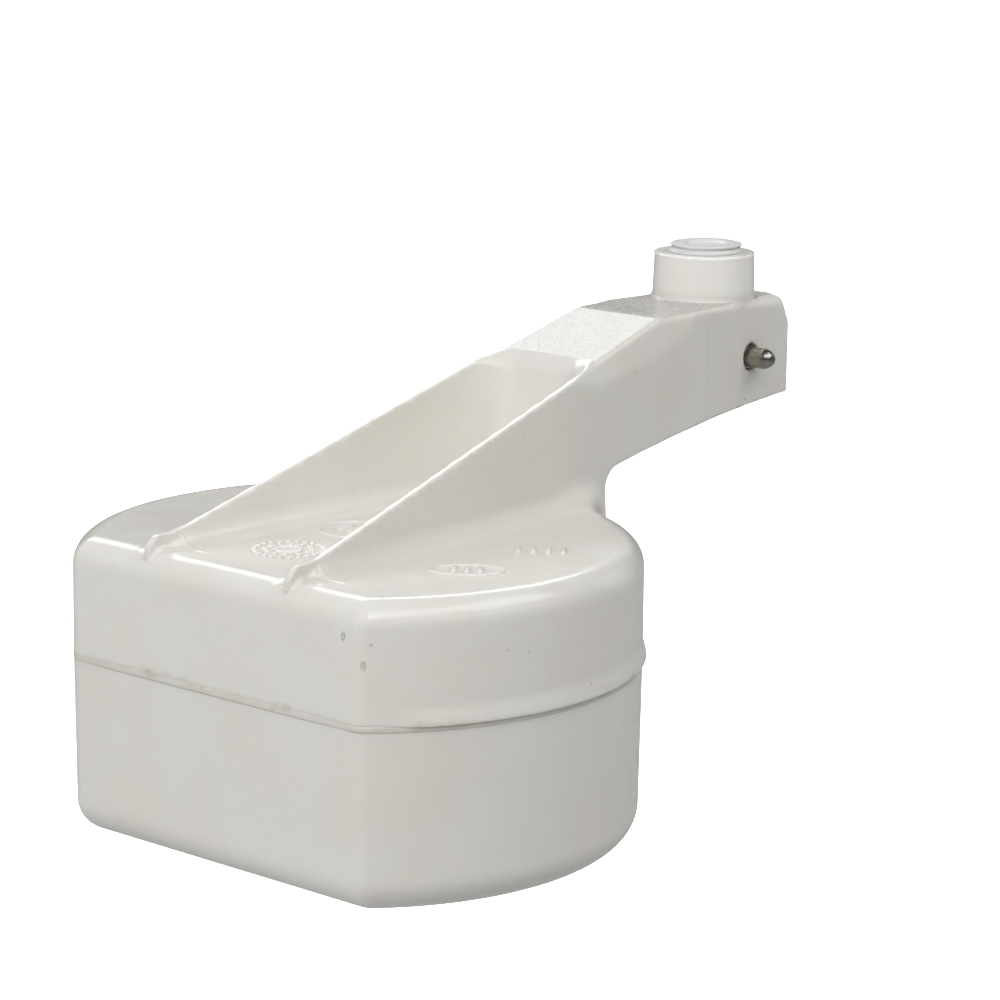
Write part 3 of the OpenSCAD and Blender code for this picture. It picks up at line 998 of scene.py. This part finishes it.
def make_world():
    """White to the camera; otherwise dark but for a dim band of light a little above the horizon."""
    world = bpy.data.worlds.new("studio")
    world.use_nodes = True
    bpy.context.scene.world = world
    tree = world.node_tree
    background = tree.nodes["Background"]
    place = tree.nodes.new("ShaderNodeTexCoord")
    split = tree.nodes.new("ShaderNodeSeparateXYZ")
    tree.links.new(place.outputs["Generated"], split.inputs[0])
    ramp = tree.nodes.new("ShaderNodeValToRGB")
    ramp.color_ramp.interpolation = "B_SPLINE"
    dark, dim, bright = 0.0, 0.02, 0.3
    stops = [(0.0, dark), (0.5, dark), (0.6, dim), (0.67, bright)]
    stops += [(0.75, bright), (0.82, dim), (1.0, dim)]
    while len(ramp.color_ramp.elements) < len(stops):
        ramp.color_ramp.elements.new(0.5)
    for element, (at, level) in zip(ramp.color_ramp.elements, stops):
        element.position = at
        element.color = (level, level, level, 1)
    height = tree.nodes.new("ShaderNodeMath")
    height.operation = "MULTIPLY_ADD"
    height.inputs[1].default_value = 0.5
    height.inputs[2].default_value = 0.5
    tree.links.new(split.outputs[2], height.inputs[0])
    tree.links.new(height.outputs[0], ramp.inputs[0])
    ray = tree.nodes.new("ShaderNodeLightPath")
    mix = tree.nodes.new("ShaderNodeMix")
    mix.data_type = "RGBA"
    tree.links.new(ray.outputs["Is Camera Ray"], mix.inputs["Factor"])
    tree.links.new(ramp.outputs[0], mix.inputs["A"])
    mix.inputs["B"].default_value = (1, 1, 1, 1)
    tree.links.new(mix.outputs["Result"], background.inputs[0])


def soft_light(name, azimuth, elevation, distance, width, height, glow):
    """A soft box that faces the object from a direction in degrees; glow is its radiance."""
    target = np.array([0.03, 0.0, 0.05])
    away = direction(math.radians(azimuth), math.radians(elevation))
    light = bpy.data.lights.new(name, "AREA")
    light.shape = "RECTANGLE"
    light.size = width
    light.size_y = height
    light.energy = glow * math.pi * width * height
    holder = bpy.data.objects.new(name, light)
    bpy.context.scene.collection.objects.link(holder)
    level = np.cross([0, 0, 1], away)
    level /= np.linalg.norm(level)
    above = np.cross(away, level)
    holder.matrix_world = placed(level, above, away, target + away * distance)
    holder.visible_camera = False
    return holder


def make_floor():
    """A plain pale floor under the lowest point that the float reaches."""
    mesh = bpy.data.meshes.new("floor")
    half = 6.0
    corners = [(-half, -half, 0), (half, -half, 0), (half, half, 0), (-half, half, 0)]
    mesh.from_pydata(corners, [], [(0, 1, 2, 3)])
    floor = bpy.data.objects.new("floor", mesh)
    bpy.context.scene.collection.objects.link(floor)
    floor.location = (0, 0, FLOOR_Z)
    n = Nodes("floor_white")
    n.shader.inputs["Base Color"].default_value = (0.5, 0.5, 0.5, 1)
    n.shader.inputs["Roughness"].default_value = 0.6
    n.shader.inputs["Emission Color"].default_value = (1, 1, 1, 1)
    ray = n.tree.nodes.new("ShaderNodeLightPath")
    glow = n.math("MULTIPLY", ray.outputs["Is Camera Ray"], 1.5)
    n.link(glow, n.shader.inputs["Emission Strength"])
    mesh.materials.append(n.material)


make_camera()
make_world()
make_floor()
soft_light("back_box", 53, 37, 0.9, 0.75, 0.2, 4.6)
soft_light("strip_box", -82, 26, 0.9, 0.8, 0.07, 2.4)
soft_light("side_box", -12, 12, 0.9, 0.4, 0.5, 0.7)
soft_light("spot_box", -139, 40, 0.9, 0.06, 0.06, 40.0)
soft_light("key_box", 180, 22, 0.9, 0.6, 0.45, 4.4).visible_glossy = False
soft_light("left_box", -120, 52, 0.9, 0.6, 0.45, 2.6)
soft_light("right_box", -60, 52, 0.9, 0.6, 0.45, 3.0)
soft_light("far_box", 120, 45, 0.9, 0.6, 0.5, 1.4).visible_glossy = False
make_upper_shell()
make_lower_shell()
make_weld_bead()
make_seal()
make_pin()
make_marks()
bpy.context.scene.view_settings.view_transform = "Standard"
